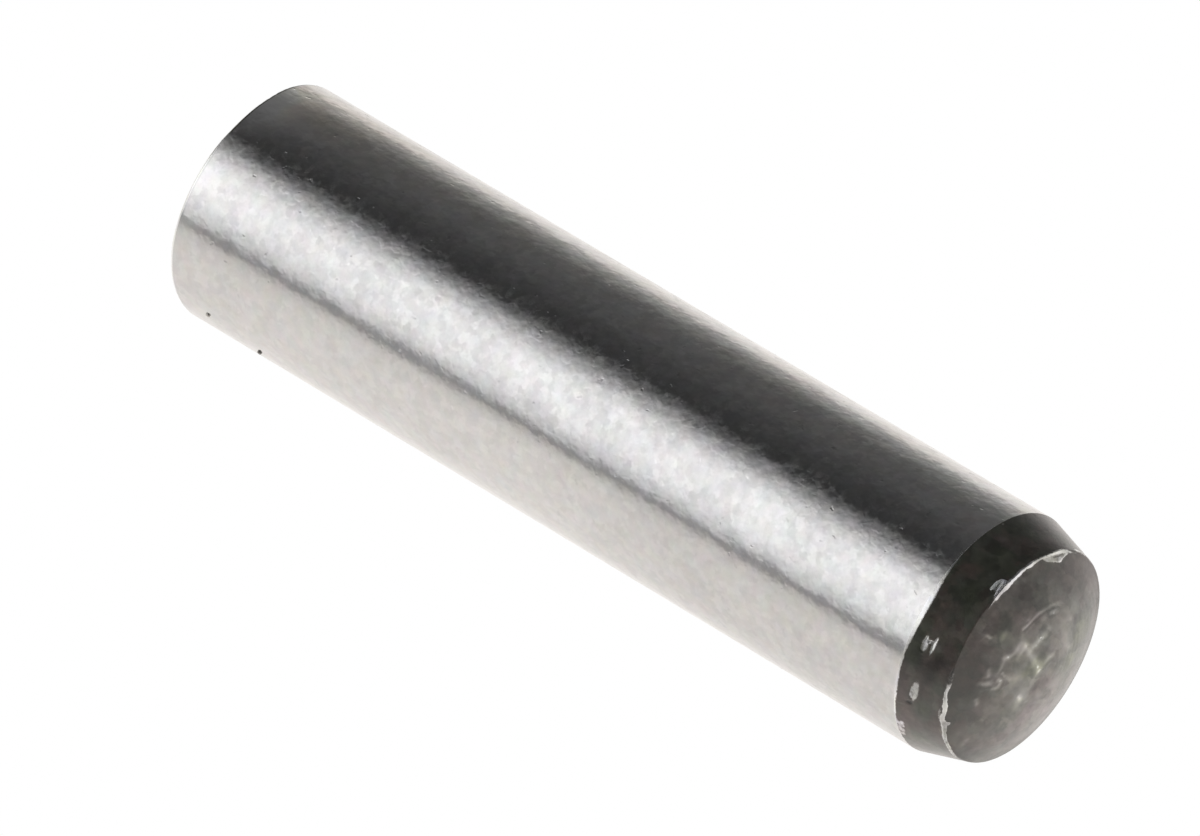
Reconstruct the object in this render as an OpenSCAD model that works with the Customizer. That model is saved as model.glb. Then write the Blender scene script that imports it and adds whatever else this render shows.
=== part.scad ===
// Hardened and ground parallel dowel pin: one solid turned bar with a ground
// shank, a tapered lead end with a shallow domed face, and a shallow domed tail
// end with a small broken edge. The axis lies along X, the lead end points to
// +X, and the origin is on the axis, half-way along the overall length.

/* [Shank] */
// Diameter of the ground shank: 6 mm nominal, middle of the m6 limits
pin_d = 6.008; // [5:0.001:8]
// Overall length over both domed ends
pin_len = 24.5; // [16:0.1:60]

/* [Lead end] */
// Length of the taper, along the axis
lead_len = 1.174; // [0.6:0.001:2]
// How much smaller in radius the taper's small end is than the shank
lead_drop = 0.338; // [0.1:0.001:0.5]
// Radius of the domed lead face
lead_dome_r = 6; // [6:0.1:20]

/* [Tail end] */
// Width of the broken edge round the tail, along the axis
tail_break = 0.08; // [0.02:0.01:0.3]
// Radius of the domed tail face
tail_dome_r = 6; // [6:0.1:20]

/* [Smoothness] */
// Segments in a full turn of the preview
segments = 128; // [48:8:256]

/* [Hidden] */
$fn = segments;

pin_r = pin_d / 2;
rim_r = pin_r - lead_drop;
tail_r = pin_r - tail_break;

// Height of a spherical cap of radius R over a circle of radius r
function cap_h(R, r) = R - sqrt(R * R - r * r);

lead_cap = cap_h(lead_dome_r, rim_r);
tail_cap = cap_h(tail_dome_r, tail_r);

// Where the ground shank starts and stops along X
shank_x0 = -pin_len / 2 + tail_cap + tail_break;
shank_x1 = pin_len / 2 - lead_cap - lead_len;

bright_steel = [0.74, 0.75, 0.76];
dark_steel = [0.20, 0.21, 0.21];

// One end of the pin, standing on Z = 0: a taper that loses `drop` of radius
// over `len`, closed by a shallow dome of radius R that starts at its rim
module tapered_end(len, drop, R) {
    cap = cap_h(R, pin_r - drop);
    slope = drop / len;
    intersection() {
        cylinder(h = len + cap, r1 = pin_r, r2 = pin_r - slope * (len + cap));
        translate([0, 0, len + cap - R]) sphere(r = R);
    }
}

module dowel_pin() {
    // Ground shank, which locates and is pressed or slid into its holes
    color(bright_steel)
        translate([shank_x0, 0, 0]) rotate([0, 90, 0])
            cylinder(h = shank_x1 - shank_x0, r = pin_r);
    // Unground lead end
    color(dark_steel)
        translate([shank_x1, 0, 0]) rotate([0, 90, 0])
            tapered_end(lead_len, lead_drop, lead_dome_r);
    // Unground tail end
    color(dark_steel)
        translate([shank_x0, 0, 0]) rotate([0, -90, 0])
            tapered_end(tail_break, tail_break, tail_dome_r);
}

dowel_pin();
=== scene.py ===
import math

import bpy
import numpy as np
from mathutils import Matrix, Vector


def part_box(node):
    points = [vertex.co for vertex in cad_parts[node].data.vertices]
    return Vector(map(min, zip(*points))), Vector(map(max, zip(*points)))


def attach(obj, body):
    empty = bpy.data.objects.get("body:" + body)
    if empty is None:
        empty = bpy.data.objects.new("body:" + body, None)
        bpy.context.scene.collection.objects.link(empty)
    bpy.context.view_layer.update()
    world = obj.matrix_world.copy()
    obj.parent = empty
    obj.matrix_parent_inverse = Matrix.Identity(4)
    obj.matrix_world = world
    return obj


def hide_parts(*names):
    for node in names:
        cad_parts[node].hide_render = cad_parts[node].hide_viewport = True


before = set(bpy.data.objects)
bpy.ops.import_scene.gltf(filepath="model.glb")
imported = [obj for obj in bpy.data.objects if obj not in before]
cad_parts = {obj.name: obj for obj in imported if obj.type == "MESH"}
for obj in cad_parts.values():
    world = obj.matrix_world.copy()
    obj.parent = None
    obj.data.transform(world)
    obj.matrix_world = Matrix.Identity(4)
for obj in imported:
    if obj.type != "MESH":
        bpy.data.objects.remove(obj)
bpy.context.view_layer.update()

# ---------------------------------------------------------------------------
# Sizes, in millimetres, as in the part's source. The axis is X, the lead end
# points to +X, and the origin is half-way along the pin.
# ---------------------------------------------------------------------------
R = 3.004          # ground shank
HALF = 12.25       # half the overall length
LEAD = 1.174       # lead taper, along the axis
RIM = 2.666        # radius where the taper meets the lead face
DOME = 6.0         # radius of both domed faces
BREAK = 0.08       # broken edge round the tail
TAIL = R - BREAK

low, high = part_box("dowel_pin")
assert abs(high.x * 1000 - HALF) < 0.02 and abs(high.z * 1000 - R) < 0.02

XC_LEAD = HALF - DOME
X_RIM = XC_LEAD + math.sqrt(DOME ** 2 - RIM ** 2)
X_SHOULDER = X_RIM - LEAD
XC_TAIL = -HALF + DOME
X_TAIL = XC_TAIL - math.sqrt(DOME ** 2 - TAIL ** 2)
X_SHANK0 = X_TAIL + BREAK
SLOPE = math.atan2(R - RIM, LEAD)


# ---------------------------------------------------------------------------
# Repeatable noise on numpy arrays
# ---------------------------------------------------------------------------
def _hash(ix, iy, iz, seed):
    h = (ix.astype(np.int64) * 374761393 + iy.astype(np.int64) * 668265263
         + iz.astype(np.int64) * 2147483647 + seed * 1274126177) & 0xFFFFFFFF
    h = ((h ^ (h >> 13)) * 1274126177) & 0xFFFFFFFF
    h = ((h ^ (h >> 16)) * 2246822519) & 0xFFFFFFFF
    return ((h ^ (h >> 15)) & 0xFFFFFF) / float(0xFFFFFF)


def noise3(x, y, z, seed=0):
    """Smooth value noise in -1..1."""
    x, y, z = np.broadcast_arrays(*(np.asarray(v, float) for v in (x, y, z)))
    fx, fy, fz = np.floor(x), np.floor(y), np.floor(z)
    tx, ty, tz = x - fx, y - fy, z - fz
    sx, sy, sz = (t * t * t * (t * (t * 6 - 15) + 10) for t in (tx, ty, tz))
    out = 0.0
    for dx in (0, 1):
        wx = sx if dx else 1 - sx
        for dy in (0, 1):
            wy = sy if dy else 1 - sy
            for dz in (0, 1):
                wz = sz if dz else 1 - sz
                out = out + wx * wy * wz * _hash(fx + dx, fy + dy, fz + dz, seed)
    return out * 2 - 1


def fbm(x, y, z, seed=0, octaves=3, gain=0.5):
    total, amp, norm = 0.0, 1.0, 0.0
    for k in range(octaves):
        total = total + amp * noise3(x * 2 ** k, y * 2 ** k, z * 2 ** k, seed + 17 * k)
        norm += amp
        amp *= gain
    return total / norm


def smooth(a, b, t):
    t = np.clip((np.asarray(t, float) - a) / (b - a), 0, 1)
    return t * t * (3 - 2 * t)


def window(a, b, soft, t):
    """1 between a and b, fading to 0 over soft on each side."""
    return smooth(a - soft, a + soft, t) * (1 - smooth(b - soft, b + soft, t))


def to_line(py, pz, points):
    """Distance from each (py, pz) to a polyline, and how far along it, 0..1."""
    pts = np.array(points, float)
    seg = np.hypot(*(pts[1:] - pts[:-1]).T)
    total = seg.sum()
    best = np.full(np.shape(py), 1e9)
    along = np.zeros(np.shape(py))
    run = 0.0
    for a, b, length in zip(pts[:-1], pts[1:], seg):
        t = np.clip(((py - a[0]) * (b[0] - a[0]) + (pz - a[1]) * (b[1] - a[1])) / max(length ** 2, 1e-12), 0, 1)
        d = np.hypot(py - a[0] - t * (b[0] - a[0]), pz - a[1] - t * (b[1] - a[1]))
        nearer = d < best
        best = np.where(nearer, d, best)
        along = np.where(nearer, (run + t * length) / total, along)
        run += length
    return best, along


# ---------------------------------------------------------------------------
# The pin's skin: rings of points along the turned profile. Each ring holds its
# station x, radius r, outward normal in the profile's plane, number of points,
# and its zone.
# ---------------------------------------------------------------------------
TAIL_FACE, TAIL_EDGE, SHANK, TAPER, LEAD_EDGE, LEAD_FACE = range(6)
rings = []


def add_ring(x, r, nx, nr, count, zone, s=0.0):
    rings.append((x, r, nx, nr, count, zone, s))


def dome_ring(xc, side, r, count, zone, s=0.0):
    h = math.sqrt(DOME ** 2 - r ** 2)
    add_ring(xc + side * h, r, side * h / DOME, r / DOME, count, zone, s)


def fillet(corner, n1, n2, rho, steps, count, zone, s_of):
    """Rings of a small round between two faces that meet at corner."""
    c = np.array(corner) - rho * (np.array(n1) + np.array(n2)) / (1 + n1[0] * n2[0] + n1[1] * n2[1])
    a1, a2 = math.atan2(n1[1], n1[0]), math.atan2(n2[1], n2[0])
    for k in range(steps + 1):
        a = a1 + (a2 - a1) * k / steps
        n = (math.cos(a), math.sin(a))
        add_ring(c[0] + rho * n[0], c[1] + rho * n[1], n[0], n[1], count, zone, s_of(a))


# tail face, from its centre out
for r in np.linspace(0.06, 0.54, 9):
    dome_ring(XC_TAIL, -1, r, 75, TAIL_FACE)
for r in np.linspace(0.60, 1.35, 14):
    dome_ring(XC_TAIL, -1, r, 150, TAIL_FACE)
for r in np.linspace(1.42, 2.86, 19):
    dome_ring(XC_TAIL, -1, r, 300, TAIL_FACE)
corner = (XC_TAIL - math.sqrt(DOME ** 2 - R ** 2), R)
n_dome = (-math.sqrt(DOME ** 2 - R ** 2) / DOME, R / DOME)
fillet(corner, n_dome, (0.0, 1.0), BREAK, 6, 300, TAIL_EDGE, lambda a: 0.0)

# shank, with closer rings where it has a pit: (x, angle in degrees, size, depth)
PITS = [(9.786, 93.0, 0.034, 0.012)]
NEAR = np.array([-0.10, -0.07, -0.045, -0.022, 0.0, 0.022, 0.045, 0.07, 0.10])
xs = set(np.round(np.linspace(X_SHANK0 + 0.3, 9.3, 24), 4))
for x in sorted(xs | {X_SHANK0 + 0.06, X_SHANK0 + 0.13}):
    add_ring(x, R, 0.0, 1.0, 300, SHANK)
for x in np.r_[9.5, PITS[0][0] + NEAR[::2], 10.0, 10.1, X_SHOULDER - np.array([0.26, 0.18, 0.12, 0.07, 0.035, 0.012])]:
    add_ring(x, R, 0.0, 1.0, 600, SHANK)
n_tap = (math.sin(SLOPE), math.cos(SLOPE))
# shoulder edge, taper
add_ring(X_SHOULDER, R, math.sin(SLOPE / 2), math.cos(SLOPE / 2), 600, SHANK)
stations = np.r_[0.010, 0.026, np.linspace(0.05, 0.17, 5), np.linspace(0.20, 0.70, 17), np.linspace(0.735, 0.92, 6), np.linspace(0.94, 1.154, 15)]
for t in stations:
    add_ring(X_SHOULDER + t, R - t * math.tan(SLOPE), n_tap[0], n_tap[1], 600, TAPER, (t - LEAD) / math.cos(SLOPE))
# rim
n_face = (math.sqrt(DOME ** 2 - RIM ** 2) / DOME, RIM / DOME)
RHO = 0.03
a_t, a_f = math.atan2(n_tap[1], n_tap[0]), math.atan2(n_face[1], n_face[0])
fillet((X_RIM, RIM), n_tap, n_face, RHO, 4, 600, LEAD_EDGE, lambda a: RHO * ((a_t + a_f) / 2 - a))
# lead face
for s in np.r_[np.linspace(0.022, 0.13, 9), np.linspace(0.15, 0.29, 7), np.linspace(0.32, RIM - 1.60, 20)]:
    dome_ring(XC_LEAD, 1, RIM - s, 600, LEAD_FACE, s)
for r in np.linspace(1.57, 0.75, 28):
    dome_ring(XC_LEAD, 1, r, 300, LEAD_FACE, RIM - r)
for r in np.linspace(0.72, 0.30, 15):
    dome_ring(XC_LEAD, 1, r, 150, LEAD_FACE, RIM - r)
for r in np.linspace(0.27, 0.03, 9):
    dome_ring(XC_LEAD, 1, r, 75, LEAD_FACE, RIM - r)


def spread(density, n=600):
    """n angles round the pin, from 0 up to a full turn, closer where density is high."""
    fine = np.linspace(0, 2 * math.pi, 7201)
    mid = (fine[1:] + fine[:-1]) / 2
    run = np.r_[0, np.cumsum(density(np.degrees(mid)))]
    return np.interp(np.arange(n) / n, run / run[-1], fine)


def bell(deg, centre, width):
    d = (deg - centre + 180) % 360 - 180
    return np.exp(-(d / width) ** 2)


PHI_LEAD = spread(lambda deg: 1 + 0.75 * window(38, 232, 12, deg))
PHI_TAIL = spread(lambda deg: 1 + 4.0 * bell(deg, -158, 7))


def angles(x, count):
    w = float(smooth(-8.2, 6.0, x))
    return ((1 - w) * PHI_TAIL + w * PHI_LEAD)[:: 600 // count]


def table(deg, points):
    """Linear interpolation over (angle, value) points, in degrees from 0 to 360."""
    p = np.array(points, float)
    return np.interp(deg, p[:, 0], p[:, 1])


# Burrs along the rim: (angle, place across the rim, half width, strength). The
# place is counted from the corner, positive on the face.
BURR_A = [(34, 0.040, 0.010, 0.0), (40, 0.055, 0.010, 0.2), (46, 0.070, 0.012, 0.35), (50.3, 0.076, 0.016, 0.5), (55.2, 0.068, 0.027, 0.75),
          (59, 0.050, 0.032, 0.85), (62.5, 0.052, 0.034, 0.95), (66, 0.057, 0.032, 0.95), (70.9, 0.057, 0.025, 0.75), (76, 0.045, 0.023, 0.7),
          (80, 0.045, 0.028, 0.75), (84.7, 0.050, 0.044, 1.25), (88, 0.042, 0.033, 0.8), (90.3, 0.038, 0.036, 0.85), (93.7, 0.050, 0.052, 1.4),
          (96, 0.055, 0.044, 0.9), (98.5, 0.058, 0.046, 0.9), (101.5, 0.058, 0.068, 1.6), (104.5, 0.058, 0.048, 0.95), (107.9, 0.056, 0.036, 0.8),
          (110.2, 0.058, 0.046, 0.8), (112.8, 0.057, 0.028, 0.7), (114.4, 0.058, 0.016, 0.6), (116.5, 0.064, 0.012, 0.4), (118.5, 0.060, 0.010, 0.0)]
BURR_B = [(149, 0.030, 0.016, 0.0), (152, 0.032, 0.034, 0.30), (155.2, 0.030, 0.044, 0.40), (159.2, 0.032, 0.058, 0.46), (161.9, 0.026, 0.044, 0.64),
          (164.4, 0.002, 0.040, 0.92), (167.2, 0.010, 0.040, 0.85), (171.5, 0.028, 0.052, 1.05), (174.1, 0.040, 0.052, 1.0), (177.5, 0.014, 0.066, 0.85),
          (179.2, -0.016, 0.062, 1.0), (181.4, -0.010, 0.055, 0.95), (183.8, 0.022, 0.060, 0.90), (185.6, 0.026, 0.056, 0.80), (187.9, 0.022, 0.052, 0.78),
          (190.4, 0.006, 0.048, 0.79), (193, 0.000, 0.046, 0.79), (196, -0.004, 0.045, 0.76), (199.3, 0.008, 0.042, 0.74), (202.6, 0.008, 0.041, 0.72),
          (206.4, 0.004, 0.040, 0.68), (211, -0.001, 0.036, 0.6), (216, -0.006, 0.030, 0.38), (222, 0.0, 0.022, 0.15), (230, 0.0, 0.014, 0.0)]

# More strokes along the rim: half width, height, bare metal, tone, then (angle, place, strength) points.
STROKES = [
    (0.024, 0.006, 0.88, -0.15, [(60.9, 0.222, 1.1), (59.0, 0.180, 1.0), (56.8, 0.128, 0.95), (54.6, 0.100, 0.7)]),
    (0.050, 0.008, 1.30, 0.3, [(62.4, 0.212, 1.0), (61.2, 0.206, 1.1)]),
    (0.018, 0.004, 0.65, -0.1, [(75.4, 0.080, 0.6), (73.6, 0.140, 0.9), (71.0, 0.180, 0.9), (67.5, 0.212, 1.0), (63.4, 0.244, 1.1), (61.4, 0.232, 1.0)]),
    (0.050, 0.016, 0.85, -1.0, [(183.4, 0.030, 1.0), (184.6, 0.080, 1.0), (184.8, 0.116, 0.85)]),
    (0.030, 0.004, 0.62, -1.0, [(173.4, -0.050, 0.6), (175.5, -0.080, 0.85), (178.0, -0.098, 0.9), (180.4, -0.078, 0.9)]),
]

# Marks on the lead face: half width, depth, then (y, z, strength) points.
MARKS = [
    (0.038, 0.010, [(-0.45, 1.42, 1.1), (-0.37, 1.43, 1.25), (-0.27, 1.45, 1.05), (-0.12, 1.48, 0.95), (0.07, 1.50, 1.0), (0.22, 1.49, 0.95),
                    (0.38, 1.46, 0.8), (0.53, 1.42, 0.85), (0.72, 1.34, 0.9), (0.88, 1.25, 0.6), (1.00, 1.14, 0.2)]),
    (0.085, 0.005, [(-0.56, 1.30, 0.35), (-0.53, 1.18, 0.55), (-0.48, 0.99, 0.70), (-0.41, 0.80, 0.85), (-0.36, 0.68, 0.6), (-0.31, 0.55, 0.38)]),
    (0.062, 0.006, [(-0.36, 0.68, 0.4), (-0.31, 0.53, 0.42), (-0.24, 0.36, 0.6)]),
    (0.088, 0.006, [(-0.25, 0.38, 0.6), (-0.17, 0.20, 1.2), (-0.09, 0.02, 1.35), (-0.06, -0.05, 0.7)]),
    (0.110, 0.003, [(-0.58, 1.05, 0.40), (-0.44, 0.93, 0.40), (-0.30, 0.85, 0.3)]),
    (0.050, 0.004, [(-0.12, 0.0, 0.7), (-0.27, -0.09, 0.45), (-0.35, -0.17, 0.3)]),
    (0.085, 0.005, [(0.30, 0.93, 0.6), (0.18, 0.87, 1.0), (0.06, 0.865, 1.2), (-0.06, 0.86, 1.1), (-0.20, 0.83, 0.9), (-0.34, 0.78, 0.7)]),
    (0.064, 0.006, [(0.10, 0.12, 0.7), (0.25, 0.14, 1.0), (0.40, 0.14, 0.9), (0.47, 0.22, 0.4)]),
    (0.050, 0.004, [(-0.49, 0.97, 0.6), (-0.64, 0.88, 0.55), (-0.75, 0.80, 0.35)]),
    (0.055, 0.006, [(-0.62, 1.12, 0.5), (-0.72, 1.05, 0.8), (-0.80, 0.99, 0.8), (-0.89, 0.96, 1.0), (-0.99, 0.96, 1.25), (-1.09, 1.01, 0.9)]),
    (0.042, 0.005, [(-1.10, 0.95, 0.5), (-1.15, 0.90, 0.7), (-1.23, 0.79, 0.65), (-1.30, 0.71, 0.5)]),
    (0.040, 0.007, [(-1.55, 0.90, 0.7), (-1.56, 0.74, 1.1)]),
    (0.045, 0.005, [(-1.70, 0.75, 0.6), (-1.65, 0.73, 0.5)]),
    (0.058, 0.010, [(-1.80, 0.63, 0.7), (-1.70, 0.57, 1.15), (-1.60, 0.52, 1.25), (-1.56, 0.50, 0.9)]),
    (0.048, 0.010, [(-1.49, 0.32, 0.9), (-1.42, 0.29, 1.1), (-1.33, 0.30, 1.3), (-1.28, 0.36, 1.25), (-1.27, 0.43, 1.35), (-1.31, 0.49, 1.15)]),
    (0.032, 0.008, [(-1.21, 0.62, 0.9), (-1.15, 0.51, 1.2)]),
    (0.045, 0.004, [(-1.13, 0.44, 0.5), (-1.05, 0.33, 0.45)]),
    (0.075, 0.003, [(-0.97, 0.33, 0.4), (-0.82, 0.25, 0.5), (-0.70, 0.20, 0.35)]),
    (0.045, 0.007, [(-1.91, 0.21, 0.85), (-1.90, 0.09, 0.85)]),
    (0.036, 0.008, [(-1.47, 1.78, 0.4), (-1.41, 1.75, 0.9), (-1.37, 1.67, 1.15)]),
    (0.055, 0.004, [(-0.90, 1.64, 0.5), (-1.02, 1.57, 0.75), (-1.11, 1.50, 0.5)]),
    (0.130, 0.003, [(0.75, 0.56, 0.40), (0.93, 0.19, 0.40), (0.98, -0.07, 0.3)]),
    (0.055, 0.008, [(-0.74, -0.38, 0.9), (-0.70, -0.47, 1.2), (-0.67, -0.54, 0.8)]),
    (0.140, 0.004, [(-0.69, -0.28, 0.45), (-0.73, -0.45, 0.5), (-0.75, -0.66, 0.35)]),
    (0.035, 0.004, [(-0.52, -0.70, 0.5), (-0.46, -0.72, 0.5)]),
    (0.050, 0.006, [(0.46, 1.28, 1.0), (0.57, 1.24, 1.3), (0.70, 1.21, 0.8)]),
    (0.050, 0.004, [(0.14, 1.31, 0.5), (0.24, 1.28, 0.6)]),
    (0.040, 0.004, [(-0.32, 1.57, 0.5), (-0.26, 1.56, 0.5)]),
    (0.050, 0.004, [(-1.74, -0.48, 0.6), (-1.70, -0.52, 0.6)]),
    (0.060, 0.004, [(-2.05, -1.02, 0.5), (-2.12, -1.12, 0.5)]),
    (0.050, 0.003, [(-2.02, -0.45, 0.4), (-1.98, -0.48, 0.35)]),
    (0.050, 0.003, [(-1.43, -0.90, 0.4), (-1.38, -0.94, 0.35)]),
    (0.040, 0.004, [(1.10, 0.66, 0.45), (1.14, 0.62, 0.4)]),
]

# Chips on the taper: x, angle, half sizes along and round, lean of the long side,
# how much it widens downwards, tone, how much it fades downwards, and depth.
CHIPS = [(10.703, 145.6, 0.086, 0.215, 0.07, 0.55, 0.2, 0.14, 0.027), (10.900, 145.2, 0.055, 0.262, -0.056, 0.0, 0.4, 0.10, 0.017),
         (10.808, 144.4, 0.066, 0.052, 0.0, 0.0, -0.4, 0.0, 0.020), (10.775, 170.1, 0.116, 0.300, -0.10, 0.0, -0.88, 0.25, 0.018)]

# Stains on the taper: x, angle, half sizes, tone, warmth
STAINS = [(10.95, 156, 0.30, 9, -0.9, 0.5), (11.20, 150, 0.25, 7, -0.9, 0.4), (10.62, 155, 0.18, 6, -0.5, -0.9), (10.75, 133, 0.22, 8, 0.2, 0.9),
          (11.05, 178, 0.20, 7, 0.3, -1.1), (10.60, 186, 0.16, 6, 0.4, 1.0), (11.10, 163, 0.22, 5, -0.6, -0.2), (10.90, 200, 0.30, 8, 0.3, -0.8),
          (10.52, 170, 0.10, 8, 0.0, 1.0), (10.60, 110, 0.20, 9, 0.2, 0.8), (11.10, 120, 0.25, 10, -0.2, -0.6), (11.30, 190, 0.14, 7, 0.2, 0.6),
          (10.82, 61, 0.10, 4, 1.2, 1.0), (11.00, 59.5, 0.08, 4, -1.3, 0.3), (11.14, 51, 0.12, 5, 1.2, -1.8), (11.35, 49, 0.12, 4, 1.2, -1.8), (10.80, 44, 0.12, 5, 0.8, 0.8)]

# Soft patches on the lead face: (y, z, radius, worn metal, tone, warmth)
PATCHES = [(-1.38, 0.50, 0.28, 0.05, 0.3, 0.0), (-1.82, 0.86, 0.26, -0.07, -0.3, 0.3), (-0.80, 0.22, 0.26, 0.06, 0.3, 0.0), (-0.25, -0.14, 0.20, 0.05, 0.2, 0.0), (0.84, 0.33, 0.17, 0.06, 0.4, 0.5),
           (0.90, 0.00, 0.20, 0.06, 0.4, 0.8), (0.07, 0.48, 0.18, -0.10, -0.7, 0.0), (-0.50, 0.28, 0.19, -0.08, -0.5, -0.9), (-1.33, 0.85, 0.16, -0.05, -0.4, -0.3),
           (-0.12, -0.36, 0.14, -0.09, -0.4, 0.8), (-0.29, -0.50, 0.14, -0.08, -0.4, 0.8), (-1.08, -0.15, 0.22, -0.05, -0.3, 0.0), (-0.60, -0.95, 0.25, -0.05, -0.3, 0.0),
           (-1.78, 1.73, 0.22, 0.04, 0.2, 0.8), (-1.09, 2.11, 0.26, 0.04, 0.2, 0.8), (-0.37, -1.35, 0.28, 0.03, 0.2, 1.1), (-0.40, -1.00, 0.20, 0.02, 0.1, 0.9),
           (1.10, -0.60, 0.42, 0.01, 0.2, -1.5), (1.13, 0.64, 0.25, 0.05, 0.3, 0.4), (1.50, 0.10, 0.42, 0.02, 0.3, -1.5), (-0.14, 0.20, 0.30, 0.01, 0.2, -1.4), (1.85, -0.30, 0.35, 0.0, 0.2, -1.2), (0.0, -0.30, 0.24, 0.0, 0.0, 0.8),
           (0.48, -1.85, 0.26, 0.0, 0.0, 1.1), (-0.60, -2.15, 0.25, 0.0, 0.0, 0.8), (-0.70, -0.50, 0.28, 0.0, 0.2, -0.9),
           (0.05, 0.87, 0.22, 0.0, 0.2, -0.9), (-0.97, -1.56, 0.28, 0.03, 0.1, 1.0), (0.21, -0.55, 0.22, -0.06, -0.3, 1.1), (-0.03, 1.40, 0.10, -0.06, -0.4, 0.2),
           (0.13, 1.38, 0.08, -0.05, -0.3, 0.2), (-1.02, 1.55, 0.20, 0.0, 0.1, -1.0), (-1.50, 1.30, 0.30, 0.02, 0.2, 0.3), (0.75, 1.30, 0.35, 0.01, 0.1, 0.2),
           (1.35, 1.00, 0.28, 0.05, 0.3, -0.6), (0.57, -1.06, 0.30, 0.05, 0.2, 0.3), (-1.10, -0.70, 0.30, -0.03, -0.3, -0.3), (0.10, -1.60, 0.35, 0.04, 0.2, 0.5),
           (-0.95, 1.75, 0.24, -0.03, -0.3, -0.5)]


# How far the marks lie from their stated places, by angle: turned round the pin on the taper and on
# the face, moved across the rim, and moved along the taper.
TURN_TAPER = [(0, -1.2), (36, -1.5), (44, -1.1), (52, -0.45), (60, -0.15), (68, 0.03), (76, 0.16), (84, 0.27), (92, 0.35), (108, 0.49), (130, 0.65), (145, 0.77),
              (160, 0.86), (180, 1.02), (190, 1.12), (200, 1.3), (210, 1.6), (230, 2.0), (300, 0.0), (360, -1.2)]
TURN_FACE = [(0, 2.6), (36, 1.65), (44, 1.37), (52, 1.14), (60, 0.97), (68, 0.83), (76, 0.73), (84, 0.66), (92, 0.62), (108, 0.6), (130, 0.64), (160, 0.65), (170, 0.6),
             (180, 0.52), (190, 0.38), (200, 0.18), (220, -0.4), (270, -0.5), (300, 0.5), (360, 2.6)]
ACROSS = [(0, -0.022), (44, -0.03), (68, -0.029), (76, -0.027), (92, -0.022), (108, -0.018), (130, -0.015), (145, -0.016), (160, -0.019), (170, -0.022), (180, -0.025),
          (190, -0.029), (200, -0.033), (220, -0.033), (300, -0.03), (360, -0.022)]
ALONG = [(0, 0.08), (50, 0.082), (70, 0.110), (90, 0.124), (110, 0.132), (130, 0.134), (150, 0.132), (170, 0.125), (190, 0.112), (210, 0.092), (230, 0.08), (360, 0.08)]
# where the ground surface ends, along the axis from the shoulder
GROUND_END = [(0, -0.03), (56, -0.035), (70, -0.044), (96, -0.044), (104, -0.02), (112, 0.006), (120, 0.055), (128, 0.100), (136, 0.088), (144, 0.070), (152, 0.018),
              (176, 0.011), (184, -0.011), (192, -0.016), (360, -0.016)]


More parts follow.
